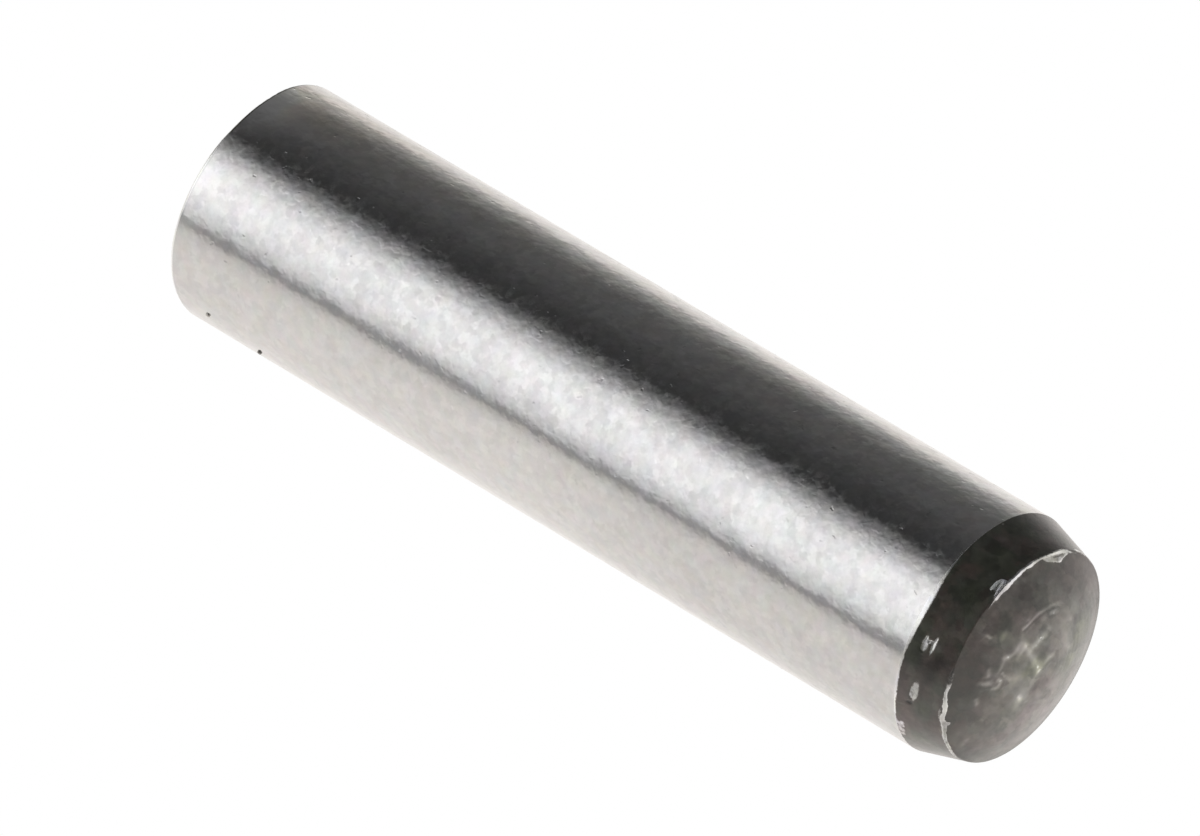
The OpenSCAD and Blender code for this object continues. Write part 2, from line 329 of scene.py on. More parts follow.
def lead_relief(station, r, phi, y, z, s, zone):
    """Over the clean turned form of the lead end: height, bare metal, metal worn through, tone of the coat and metal
    (which also carries painted shade on the burrs and in one nick), its warmth and how much rougher it is."""
    deg = np.degrees(phi) % 360
    on_face = float(smooth(-0.02, 0.03, s))
    deg = (deg - (1 - on_face) * table(deg, TURN_TAPER) - on_face * table(deg, TURN_FACE)) % 360
    s = s - table(deg, ACROSS)
    x = station - table(deg, ALONG)
    if zone == LEAD_FACE:
        y, z = y + 0.024 + 0.008 * y, z - 0.035 - 0.03 * y + 0.02 * z
    d, bare, worn, tone, warm, matt = (np.zeros_like(phi) for _ in range(6))
    wob = noise3(phi * 38, 0.3, 0.7, 5) * 0.5 + noise3(phi * 95, 1.3, 0.2, 6) * 0.35
    # burrs
    if abs(np.mean(s)) < 0.29:
        for k, (points, seed) in enumerate(((BURR_A, 0), (BURR_B, 1))):
            place, half, power = (table(deg, [(p[0], p[j]) for p in points]) for j in (1, 2, 3))
            place = place + 0.007 * wob
            half = half * (1 + 0.20 * noise3(phi * 42, 2.1, k, 8))
            power = power * (1 + 0.18 * noise3(phi * 36, 4.1, k, 9))
            across = (s - place) / half
            hump = np.exp(-across ** 2)
            # steep on the taper side, a long even fall on the face side
            fall = np.where(across < -0.7, np.exp(-((across + 0.7) / 0.4) ** 2), np.clip((1.25 - across) / 1.95, 0, 1))
            d += (0.034, 0.028)[k] * power * fall
            bare += power * smooth(0.12, 0.56, hump) * smooth(0.05, 0.35, power) * smooth(-1.0 - 0.4 * power, -0.6 - 0.4 * power, across)
            # painted shade: each burr's crest is darkened by the amount listed here for its angle
            shade = table(deg, ([(45, 0.6), (55, 0.7), (59, 0.65), (62, 0.1), (67, 0.0), (70.9, 0.5), (76, 1.3), (80, 1.3), (84.7, 0.1), (88, 0.5), (90.3, 0.45), (93.7, 0.0), (96.5, 0.25), (101.5, 0.0), (103.2, 0.35), (105.5, 0.75), (108, 0.55), (112, 0.45), (118, 0.3)],
                                [(148, 1.2), (159, 1.2), (161, 0.8), (164.5, 0.85), (167.5, 1.25), (170, 0.85), (172, 0.7), (175, 0.5), (178, 0.65), (181, 0.8), (184, 0.9), (188, 1.45), (192, 1.6), (198, 1.6), (202, 1.3), (206, 1.0), (212, 0.8), (260, 0.8)])[k])
            tone -= hump * shade * smooth(0.0, 0.2, power)
            if k == 0:
                warm -= 0.9 * hump * window(75, 83, 2, deg)
        # a long facet where the burr was struck flat, and a dark gap beside it
        lower = table(deg, [(52, 0.06), (55.7, 0.121), (58.4, 0.180), (60.7, 0.228), (63.6, 0.250), (67.9, 0.215), (71.4, 0.182), (74.5, 0.122), (76.5, 0.05)])
        inside = smooth(-0.010, 0.010, lower - s) * smooth(0.045, 0.075, s) * window(54, 76, 0.8, deg)
        run, _ = to_line(np.radians(deg) * RIM, s, [(math.radians(67) * RIM, 0.128), (math.radians(62) * RIM, 0.126), (math.radians(58.8) * RIM, 0.098)])
        gap = 0.5 * np.exp(-(run / 0.016) ** 2)
        d -= 0.012 * inside * np.clip((lower - s) / 0.15, 0, 1) + 0.010 * gap
        worn += 0.80 * inside * (1 + 0.08 * noise3(y * 5, z * 5, 0.3, 7)) * (1 - gap)
        bare = np.maximum(bare, 0.46 * inside) * (1 - 0.8 * gap * inside)
        # web between the curl and the rim
        outer = table(deg, [(101.0, -0.02), (101.8, -0.125), (103.4, -0.122), (104.4, -0.092), (106.7, -0.062), (109.0, -0.030), (111.2, 0.02)])
        web = window(101.2, 110.8, 0.8, deg) * smooth(-0.020, 0.024, s - outer) * (1 - smooth(0.0, 0.03, s))
        d += 0.018 * web * np.clip((110.0 - deg) / 7, 0, 1)
        slot = window(102.0, 109.2, 0.8, deg) * smooth(-0.165, -0.130, s) * (1 - smooth(-0.05, -0.01, s))
        bare = np.maximum(bare, 0.62 * slot)
        tone -= 0.3 * slot
        bare = np.maximum(bare, 1.1 * web * table(deg, [(101, 0.7), (103.6, 0.8), (105, 1.0), (112, 1.0)]))
        worn += 1.0 * web
        for half, rise, metal, t, pts in STROKES:
            dist, along = to_line(np.radians(deg) * RIM, s, [(math.radians(p[0]) * RIM, p[1]) for p in pts])
            power = np.interp(along, np.linspace(0, 1, len(pts)), [p[2] for p in pts])
            cut = np.exp(-(dist / half) ** 2)
            d += rise * power * cut
            bare = np.maximum(bare, metal * power * smooth(0.12, 0.56, cut))
            tone += t * cut
        # a hole in the second burr
        hole = np.exp(-((s + 0.034) / 0.026) ** 2 - ((deg - 175.7 - 18 * (s + 0.034)) / 1.5) ** 2)
        d -= 0.020 * hole
        bare *= 1 - 0.95 * smooth(0.25, 0.75, hole)
        # the rim's upper right is rubbed bright
        rub = window(24, 50, 5, deg) * (1 - smooth(-0.02, 0.13, s)) * smooth(-0.10, -0.02, s)
        bare = np.maximum(bare, 0.75 * rub * (1 + 0.25 * noise3(phi * 20, s * 12, 0.4, 10)))
    if zone == TAPER:
        warm += 0.12 + 0.8 * (1 - smooth(58, 72, deg)) + 0.55 * window(150, 215, 22, deg) + 0.45 * (bell(deg, 48, 14) * (1 - smooth(10.6, 11.1, x)) + bell(deg, 62, 10) * smooth(10.9, 11.3, x))
        warm += 0.75 * fbm(x * 1.5, y * 1.5, z * 1.5, 21, 3) + (0.5 + 0.35 * (1 - smooth(96, 118, deg))) * fbm(x * 3.2, y * 3.2, z * 3.2, 24, 2)
        worn += (0.030 * (1 - smooth(96, 110, deg)) + 0.05 * (1 - smooth(58, 70, deg))) * fbm(x * 4.2, y * 4.2, z * 4.2, 35, 2)
        tone += 0.5 * fbm(x * 1.3, y * 1.3, z * 1.3, 31, 3) + 0.5 * (1 - smooth(96, 110, deg)) * fbm(x * 4.2, y * 4.2, z * 4.2, 36, 2) - 0.30 * bell(deg, 162, 16) + 0.35 * bell(deg, 88, 26) + 0.25 * window(77, 141, 8, deg)
        worn += 0.018 + 0.014 * fbm(x * 3, y * 3, z * 3, 33, 2) + 0.046 * window(188, 260, 12, deg) + 0.016 * bell(deg, 213, 9) + 0.07 * (1 - smooth(48, 74, deg)) + 0.24 * (1 - smooth(34, 56, deg)) - 0.012 * window(190, 204, 6, deg) + 0.008 * bell(deg, 140, 14)
        for cx, cdeg, hx, hc, lean, flare, t, fade, depth in CHIPS:
            c = ((deg - cdeg + 180) % 360 - 180) * math.pi / 180 * r
            v = c / hc
            u = (x - cx - lean * c) / (hx * (1 + flare * np.clip(v, -1, 1)))
            edge = np.sqrt(u * u + v * v) + 0.12 * noise3(x * 9, y * 9, z * 9, 41)
            cut = 1 - smooth(0.62, 1.18, edge)
            d -= depth * cut * (0.68 - 0.62 * np.clip(u, -1, 1) - 0.2 * np.clip(v, -1, 1))
            bare = np.maximum(bare, cut * (0.85 + 0.18 * noise3(x * 18, y * 18, z * 18, 43)) * (1 - fade * np.clip(0.5 + 0.5 * v, 0, 1)))
            tone += t * cut
            warm += 0.6 * fade * cut
            d += 0.004 * np.exp(-((edge - 1.12) / 0.12) ** 2)
        # a nick beside the round chip, its dent darkened with painted shade, and ground metal lapped over the shoulder
        u, v = (x - 10.682) / 0.078, (deg - 176.8) / 1.15
        nick = np.exp(-(u * u + v * v) ** 2)
        d -= 0.022 * nick
        tone -= 2.6 * nick
        worn *= 1 - nick
        lap = window(188.8, 201.5, 1.8, deg + 1.6 * noise3(x * 9, 0.2, 0.4, 47)) * (1 - smooth(0.15, 0.25, station - X_SHOULDER + 0.03 * noise3(phi * 22, 0.1, 0.9, 48) + 0.0035 * np.abs(deg - 192)))
        bare = np.maximum(bare, (0.56 + 0.3 * noise3(x * 12, y * 12, z * 12, 44)) * lap)
        tone -= 0.95 * lap
        warm += 1.3 * lap
        d += 0.004 * lap
        bare = np.maximum(bare, 0.62 * np.exp(-((x - 10.392) / 0.035) ** 2 - ((deg - 78.6) / 0.9) ** 2))
        # the ground surface ends raggedly
        end = table(deg, GROUND_END)
        t, run_on = station - X_SHOULDER, np.maximum(end, 0.0)
        raised = np.maximum(t - (run_on + 0.02) * (run_on > 0.004) * (1 - smooth(0.10, 0.50, t)), 0.0)
        d += (t - raised) * math.tan(SLOPE)
        tone -= 0.62 * smooth(0.0, 0.03, run_on) * (1 - smooth(0.0, 0.05, t - run_on))
        soft = smooth(160, 172, deg)
        bare = np.maximum(bare, 1 - smooth(0.012 - 0.02 * soft, 0.052 + 0.03 * soft, station - X_SHOULDER - end + 0.012 * noise3(phi * 55, 0.5, 0.1, 49)))
        # a smear beside the chips, and darker and lighter stains
        worn += 0.12 * np.exp(-((x - 11.01) / 0.05) ** 2 - ((deg - 145.5) / 2.2) ** 2)
        for sx, sdeg, rx, rdeg, t, h in STAINS:
            g = np.exp(-((x - sx) / rx) ** 2 - (((deg - sdeg + 180) % 360 - 180) / rdeg) ** 2)
            tone += t * g
            warm += h * g
        d += 0.0016 * fbm(x * 4, y * 4, z * 4, 51, 3)
    else:
        low = (0.59 * y - 0.81 * z) / 2.6
        u, v = (0.627 * y - 0.779 * z) / 1.7, 0.779 * y + 0.627 * z
        worn += 0.028 + 0.15 * (1 - smooth(0.9, 2.0, r)) + 0.24 * smooth(-0.25, 0.85, low) - 0.08 * window(232, 350, 22, deg) * smooth(1.7, 2.5, r)
        worn -= 0.055 * window(222, 350, 20, deg) * smooth(0.1, 0.4, r) + 0.045 * np.exp(-((y - 1.05) / 0.6) ** 2 - ((z + 1.0) / 0.6) ** 2) + 0.05 * bell(deg, 15, 22) * smooth(1.5, 2.0, r)
        worn += 0 - 0.05 * bell(deg, 163, 26) * smooth(1.9, 2.3, r)
        worn += 0.08 * fbm(u * 2.4, v * 2.4, 0.4, 61, 3) + 0.02 * noise3(phi * 4, r * 5.2, 0.3, 62)
        worn += 0.035 * bell(deg, 100, 70) + 0.05 * bell(deg, 195, 32) * window(0.4, 1.5, 0.4, r) + 0.06 * bell(deg, 100, 32) * smooth(2.2, 2.5, r)
        warm += 0.7 * bell(deg, 22, 32) * smooth(1.9, 2.3, r)
        tone += 0.9 * fbm(u * 1.9, v * 1.9, 2.4, 63, 3) + 0.35 * smooth(-0.6, 0.6, low) - 0.35 * bell(deg, 150, 45) * smooth(1.3, 2.2, r)
        warm += 0.62 + 0.55 * fbm(u * 1.3, v * 1.3, 5.4, 64, 2) + 0.55 * fbm(u * 3.0, v * 3.0, 8.4, 65, 2)
        for py, pz, pr, w, t, h in PATCHES:
            g = np.exp(-((y - py) ** 2 + (z - pz) ** 2) / pr ** 2)
            worn += w * g
            tone += t * g
            warm += h * g
        for half, depth, pts in MARKS:
            dist, along = to_line(y, z, [(p[0], p[1]) for p in pts])
            seg = np.r_[0, np.cumsum([math.dist(a[:2], b[:2]) for a, b in zip(pts[:-1], pts[1:])])]
            power = np.interp(along, seg / seg[-1], [p[2] for p in pts])
            h = 1.2 * half * (1 + 0.30 * noise3(y * 6, z * 6, half * 100, 71))
            cut = np.exp(-(dist / h) ** 2)
            d += power * depth * (-cut + 0.35 * np.exp(-((dist - 1.7 * h) / (0.7 * h)) ** 2))
            bare = np.maximum(bare, power * (0.36 + 0.40 * noise3(y * 13, z * 13, 0.5, 72)) * cut)
            worn += power * (0.30 * cut + 0.04 * np.exp(-(dist / (3.0 * half)) ** 2))
        # shallow turning rings, clearer on the right of the face
        rings_on = 0.35 + 0.65 * bell(deg, 20, 60)
        d += 0.0011 * rings_on * np.sin(2 * math.pi * (r / 0.172 + 0.25 * noise3(phi * 1.2, r, 0.4, 73))) * smooth(0.15, 0.5, r)
        d += 0.0030 * fbm(y * 2.6, z * 2.6, 7.1, 74, 3) * smooth(0.0, 0.15, s)
        # a rougher band along the lower right of the rim
        matt += 0.30 * window(255, 372, 14, np.where(deg < 90, deg + 360, deg)) * (1 - smooth(0.0, 0.55, s))
        worn *= 1 - 1.6 * matt
        fade = smooth(-0.02, 0.06, s)
        worn = worn * fade + 0.02 * (1 - fade)
    return d, np.clip(bare, 0, 1.2), np.clip(worn, 0, 1.0), np.clip(tone, -1.6, 1.5), np.clip(warm, -0.8, 1.8), matt


# ---------------------------------------------------------------------------
# Mesh
# ---------------------------------------------------------------------------
verts, fields, exact, starts = [], [], [], []
total = 0
for x, r, nx, nr, count, zone, s in rings:
    phi = angles(x, count)
    y, z = r * np.cos(phi), r * np.sin(phi)
    d, bare, worn, tone, warm, matt = (np.zeros(count) for _ in range(6))
    xr = np.full(count, float(x))
    plain = np.full(count, zone == SHANK and x < X_SHOULDER - 1e-6)
    if zone in (TAPER, LEAD_EDGE, LEAD_FACE):
        d, bare, worn, tone, warm, matt = lead_relief(x, r, phi, y, z, s, zone)
    if zone == SHANK:
        for px, pdeg, size, depth in PITS:
            c = ((np.degrees(phi) - pdeg + 180) % 360 - 180) * math.pi / 180 * R
            edge = np.hypot(x - px, c) / size * (1 + 0.25 * noise3(x * 25, y * 25, z * 25, 11))
            d -= depth * np.exp(-edge ** 2) - 0.08 * depth * np.exp(-((edge - 1.9) / 0.5) ** 2)
            plain &= edge > 4
    if zone == SHANK:
        deg = np.degrees(phi) % 360
        deg = deg - table(deg, TURN_TAPER) + 0.25 * float(1 - smooth(-11, 9, x))
        # the steel's tone by angle and along the pin: a lighter ring at the shoulder, a lighter band near the lead end,
        # a darker band at 157 to 215 degrees that deepens towards the lead end, and a painted highlight on the upper
        # side near the tail, strongest at the tail end
        tone = 0.22 * math.exp(-((x - X_SHOULDER) / 0.05) ** 2) + 0.45 * float(1 - smooth(-10.9, -8.6, x)) * window(63, 98, 10, deg)
        warm = 0.9 * float(1 - smooth(-10.9, -6.0, x)) * window(55, 86, 9, deg) * (1 + 0.3 * noise3(phi * 9, x * 0.8, 0.3, 23))
        tone = tone + 0.22 * float(smooth(8.0, 10.0, x)) * window(114, 134, 5, deg) - (0.02 + 0.22 * float(smooth(-1.5, 4.0, x))) * window(157, 215, 4, deg)
        warm = warm + 0.15 * window(157, 215, 6, deg)
        warm = warm + window(50, 90, 8, deg) * (0.22 + 0.55 * fbm(x * 1.3, np.cos(phi) * 4.0, np.sin(phi) * 4.0, 25, 2))
        tone = tone + 0.35 * float(1 - smooth(-11.3, -10.8, x)) * window(148, 158, 3, deg)
        tone = tone + (1.6 * float(1 - smooth(-11.38, -10.78, x)) + 0.40 * float(1 - smooth(-10.95, -9.7, x))) * (window(68, 108, 8, deg) + 0.35 * window(112, 140, 6, deg))
        worn = table(deg, [(0, 1.0), (58, 1.0), (64, 1.6), (76, 1.55), (82, 1.6), (106, 1.6), (112, 1.15), (147, 1.15), (151.5, 1.15), (154.5, 0.85), (157, 0.80), (161, 0.58), (200, 0.58), (230, 0.8), (260, 1.0), (360, 1.0)])
        bare = table(deg, [(0, 1.0), (146, 1.0), (151, 0.35), (158, 0.35), (163, 0.7), (360, 1.0)])
    if zone in (SHANK, TAPER) and abs(x - X_SHOULDER) < 0.2:
        xr = xr + (0.007 * noise3(phi * 30, 0.5, 0.5, 12) + 0.004 * noise3(phi * 90, 0.5, 0.5, 13)) * (1 - smooth(0.03, 0.2, abs(x - X_SHOULDER)))
    if zone == TAIL_EDGE or (zone == TAIL_FACE and r > 2.4):
        deg = np.degrees(phi) % 360
        xr = xr + float(smooth(2.4, 2.9, r)) * table(deg, [(0, 0.0), (48, 0.0), (60, -0.006), (70, 0.0), (76, 0.014), (83, 0.036), (104, 0.034), (110, 0.027), (116, 0.003), (130, -0.003), (144, -0.013),
                                                          (150, -0.016), (157, -0.028), (170, -0.027), (178, -0.018), (188, -0.010), (197, 0.002), (206, 0.016), (214, 0.010), (225, 0.0), (360, 0.0)])
    if zone == TAIL_EDGE:
        bare = 1 - window(42, 108, 6, deg + 5 * noise3(phi * 12, 0.5, 0.5, 14))
        worn = np.full(count, 0.05)
        d = 0.006 * noise3(phi * 26, 0.7, 0.5, 15) + 0.003 * noise3(phi * 80, 0.7, 0.5, 16)
        d = np.minimum(d, 0.0) if nr > 0.95 else d
    if zone == TAIL_FACE:
        d = (-0.0022 * np.sin(2 * math.pi * r / 0.146 + 0.6 * noise3(phi * 1.1, 0.2, r, 17)) * smooth(0.05, 0.4, r)
             + 0.0030 * fbm(y * 2.1, z * 2.1, 3.3, 18, 3))
        worn = np.clip(0.10 + 0.09 * fbm(y * 2.0, z * 2.0, 1.3, 19, 3), 0, 1)
        tone = 0.6 * fbm(y * 1.5, z * 1.5, 9.3, 20, 3)
        warm = np.clip(0.6 + 0.5 * fbm(y * 1.1, z * 1.1, 6.3, 22, 3), 0, 1.3)
    rr = np.minimum(r + nr * d, 0.99995 * R / np.maximum(np.abs(np.cos(phi)), np.abs(np.sin(phi))))
    rr = np.minimum(rr, R) if zone != SHANK else rr
    xx = np.clip(xr + nx * d, -HALF, HALF)
    verts.append(np.c_[xx, rr * np.cos(phi), rr * np.sin(phi)])
    fields.append(np.c_[bare, worn, tone, warm, matt])
    exact.append(plain)
    starts.append(total)
    total += count
tail_centre, lead_centre = total, total + 1
verts.append(np.array([[-HALF + 0.001, 0, 0], [HALF - 0.001, 0, 0]]))
fields.append(np.array([[0, 0.1, 0, 0.6, 0], [0.3, 0.2, 0.2, 0.6, 0]]))
exact.append(np.array([False, False]))
total += 2

faces, mats = [], []


def join(i):
    """Faces between ring i and ring i + 1, wound outwards."""
    a, b = starts[i], starts[i + 1]
    na, nb = rings[i][4], rings[i + 1][4]
    dark = rings[i + 1][5] >= TAPER or rings[i][5] == TAIL_FACE or rings[i + 1][5] == TAIL_EDGE
    before = len(faces)
    if na == nb:
        for j in range(na):
            k = (j + 1) % na
            faces.append((a + j, b + j, b + k, a + k)[::-1])
    elif nb == 2 * na:
        for j in range(na):
            k = (j + 1) % na
            f0, f1, f2 = b + 2 * j, b + 2 * j + 1, b + (2 * j + 2) % nb
            faces.append((a + j, f0, f1)[::-1])
            faces.append((a + j, f1, a + k)[::-1])
            faces.append((a + k, f1, f2)[::-1])
    else:
        for j in range(nb):
            k = (j + 1) % nb
            f0, f1, f2 = a + 2 * j, a + 2 * j + 1, a + (2 * j + 2) % na
            faces.append((f0, b + j, f1)[::-1])
            faces.append((f1, b + j, b + k)[::-1])
            faces.append((f1, b + k, f2)[::-1])
    mats.extend([1 if dark else 0] * (len(faces) - before))


for j in range(75):
    faces.append((tail_centre, starts[0] + j, starts[0] + (j + 1) % 75)[::-1])
    mats.append(1)
for i in range(len(rings) - 1):
    join(i)
for j in range(75):
    faces.append((starts[-1] + j, lead_centre, starts[-1] + (j + 1) % 75)[::-1])
    mats.append(1)


def on_skin(x, deg, lift):
    """A point over the taper or rim at station x and angle deg, lifted off it."""
    a = math.radians(deg)
    t = x - X_SHOULDER
    r = R - t * math.tan(SLOPE) + lift * n_tap[1]
    return np.array([x + lift * n_tap[0], r * math.cos(a), r * math.sin(a)])


def sliver(path, half, thick, facing, sides=8, bare=1.0, worn=1.0, matt=0.3):
    """A thin strip of raised metal along path, with closed ends, its flat side turned to facing."""
    global total
    pts = np.array([on_skin(*p) for p in path])
    # more points along a smooth line through these
    u = np.r_[0, np.cumsum(np.linalg.norm(np.diff(pts, axis=0), axis=1))]
    w = np.linspace(0, u[-1], 4 * len(path))
    pts = np.c_[tuple(np.interp(w, u, pts[:, k]) for k in range(3))]
    for _ in range(3):
        pts[1:-1] = (pts[:-2] + 2 * pts[1:-1] + pts[2:]) / 4
    half = np.interp(w, u, half)
    thick = np.interp(w, u, thick)
    first = total
    got = []
    for k, p in enumerate(pts):
        ahead = pts[min(k + 1, len(pts) - 1)] - pts[max(k - 1, 0)]
        ahead /= np.linalg.norm(ahead)
        across = np.cross(ahead, np.array(facing, float))
        across /= np.linalg.norm(across)
        over = np.cross(across, ahead)
        for j in range(sides):
            a = 2 * math.pi * j / sides
            got.append(p + across * half[k] * math.cos(a) + over * thick[k] * math.sin(a))
    n = len(pts)
    got.append(pts[0])
    got.append(pts[-1])
    for k in range(n - 1):
        for j in range(sides):
            m = (j + 1) % sides
            faces.append((first + k * sides + j, first + k * sides + m, first + (k + 1) * sides + m, first + (k + 1) * sides + j))
            mats.append(1)
    for j in range(sides):
        m = (j + 1) % sides
        faces.append((first + n * sides, first + m, first + j))
        faces.append((first + n * sides + 1, first + (n - 1) * sides + j, first + (n - 1) * sides + m))
        mats.extend([1, 1])
    verts.append(np.array(got))
    fields.append(np.tile([bare, worn, 0.0, 0.3, matt], (len(got), 1)))
    exact.append(np.zeros(len(got), bool))
    total += len(got)


def grain(x, deg, along, around, high, tone, worn, seed):
    """A grain of dirt stuck to the shank."""
    global total
    a = math.radians(deg)
    out, side = np.array([0, math.cos(a), math.sin(a)]), np.array([0, -math.sin(a), math.cos(a)])
    centre = np.array([x, 0, 0]) + out * (R + 0.3 * high)
    first, sides, rows = total, 14, 9
    got = []
    for k in range(1, rows):
        lat = math.pi * k / rows
        for j in range(sides):
            lon = 2 * math.pi * j / sides
            d = np.array([math.sin(lat) * math.cos(lon), math.sin(lat) * math.sin(lon), math.cos(lat)])
            lump = 1 + 0.30 * float(noise3(np.array([d[0] * 1.3]), d[1] * 1.3, d[2] * 1.3, seed)[0])
            got.append(centre + lump * (d[0] * along * np.array([1, 0, 0]) + d[1] * around * side + d[2] * high * out))
    got.append(centre + high * out)
    got.append(centre - high * out)
    for k in range(rows - 2):
        for j in range(sides):
            m = (j + 1) % sides
            faces.append((first + k * sides + j, first + (k + 1) * sides + j, first + (k + 1) * sides + m, first + k * sides + m))
            mats.append(1)
    n = (rows - 1) * sides
    for j in range(sides):
        m = (j + 1) % sides
        faces.append((first + n, first + j, first + m))
        faces.append((first + n + 1, first + n - sides + m, first + n - sides + j))
        mats.extend([1, 1])
    verts.append(np.array(got))
    fields.append(np.tile([0.0, worn, tone, 0.4, 0.15], (len(got), 1)))
    exact.append(np.zeros(len(got), bool))
    total += len(got)


grain(-10.486, -160.4, 0.056, 0.080, 0.034, 1.0, 0.70, 81)
grain(-9.056, -151.7, 0.046, 0.054, 0.042, 0.8, 0.40, 82)

# the curl of metal hooked over the rim: a straight bar, and the bend that joins it
sliver([(11.455, 110.2, 0.020), (11.457, 108.9, 0.032), (11.461, 107.1, 0.038), (11.469, 105.3, 0.042), (11.482, 103.9, 0.042)],
       [0.020, 0.038, 0.042, 0.044, 0.034], [0.006, 0.009, 0.010, 0.010, 0.009], (0.05, -0.66, 0.75))
sliver([(11.475, 104.3, 0.042), (11.499, 103.1, 0.044), (11.532, 102.7, 0.040), (11.567, 102.5, 0.034), (11.602, 102.1, 0.022)],
       [0.026, 0.032, 0.034, 0.036, 0.034], [0.012, 0.012, 0.012, 0.012, 0.010], (0.30, -0.50, 0.80), bare=0.90)
sliver([(11.606, 111.3, 0.004), (11.592, 109.6, 0.014), (11.576, 107.3, 0.030), (11.562, 105.2, 0.044), (11.550, 103.4, 0.054), (11.546, 102.6, 0.054)],
       [0.008, 0.020, 0.034, 0.044, 0.050, 0.044], [0.005, 0.008, 0.010, 0.010, 0.010, 0.008], (-0.25, -0.60, 0.75))

verts = np.vstack(verts) * 0.001
fields = np.vstack(fields)
exact = np.concatenate(exact)
mesh = bpy.data.meshes.new("pin_body")
mesh.from_pydata(verts.tolist(), [], faces)
mesh.update()
mesh.polygons.foreach_set("material_index", mats)
mesh.polygons.foreach_set("use_smooth", [True] * len(faces))
for k, name in enumerate(("bare", "worn", "tone", "warm", "matt")):
    attr = mesh.attributes.new(name, "FLOAT", "POINT")
    attr.data.foreach_set("value", np.ascontiguousarray(fields[:, k]))
# The shank is a true cylinder, so its shading uses the exact normals.
normals = np.empty(len(verts) * 3)
mesh.vertices.foreach_get("normal", normals)
normals = normals.reshape(-1, 3)
radial = np.c_[np.zeros(len(verts)), verts[:, 1:]]
radial /= np.maximum(np.linalg.norm(radial, axis=1), 1e-9)[:, None]
normals[exact] = radial[exact]
mesh.normals_split_custom_set_from_vertices(normals.tolist())
pin = bpy.data.objects.new("pin_body", mesh)
bpy.context.scene.collection.objects.link(pin)
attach(pin, "root")
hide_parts("dowel_pin")


# ---------------------------------------------------------------------------
# Materials
# ---------------------------------------------------------------------------
class Tree:
    """A short hand for building node trees."""

    def __init__(self, tree):
        self.t = tree
        tree.nodes.clear()

    def node(self, kind, inputs=None, **props):
        n = self.t.nodes.new(kind)
        for k, v in props.items():
            setattr(n, k, v)
        for k, v in (inputs or {}).items():
            if isinstance(v, bpy.types.NodeSocket):
                self.t.links.new(v, n.inputs[k])
            else:
                n.inputs[k].default_value = v
        return n

    def math(self, op, a, b=0.0, c=0.0, clamp=False):
        n = self.node("ShaderNodeMath", {0: a, 1: b, 2: c}, operation=op)
        n.use_clamp = clamp
        return n.outputs[0]

    def vmath(self, op, a, b=(0, 0, 0)):
        return self.node("ShaderNodeVectorMath", {0: a, 1: b}, operation=op).outputs[0]

    def remap(self, v, a, b, c, d, kind="LINEAR"):
        n = self.node("ShaderNodeMapRange", {0: v, 1: a, 2: b, 3: c, 4: d}, interpolation_type=kind)
        return n.outputs[0]

    def mix(self, f, a, b):
        n = self.node("ShaderNodeMix", data_type="RGBA", clamp_factor=True)
        for k, v in ((0, f), (6, a), (7, b)):
            if isinstance(v, bpy.types.NodeSocket):
                self.t.links.new(v, n.inputs[k])
            else:
                n.inputs[k].default_value = v
        return n.outputs[2]

    def noise(self, vec, scale, detail=2.0, rough=0.5, dims="3D"):
        return self.node("ShaderNodeTexNoise", {"Vector": vec, "Scale": scale, "Detail": detail, "Roughness": rough},
                         noise_dimensions=dims).outputs[0]


def new_material(name):
    m = bpy.data.materials.new(name)
    m.use_nodes = True
    return m, Tree(m.node_tree)


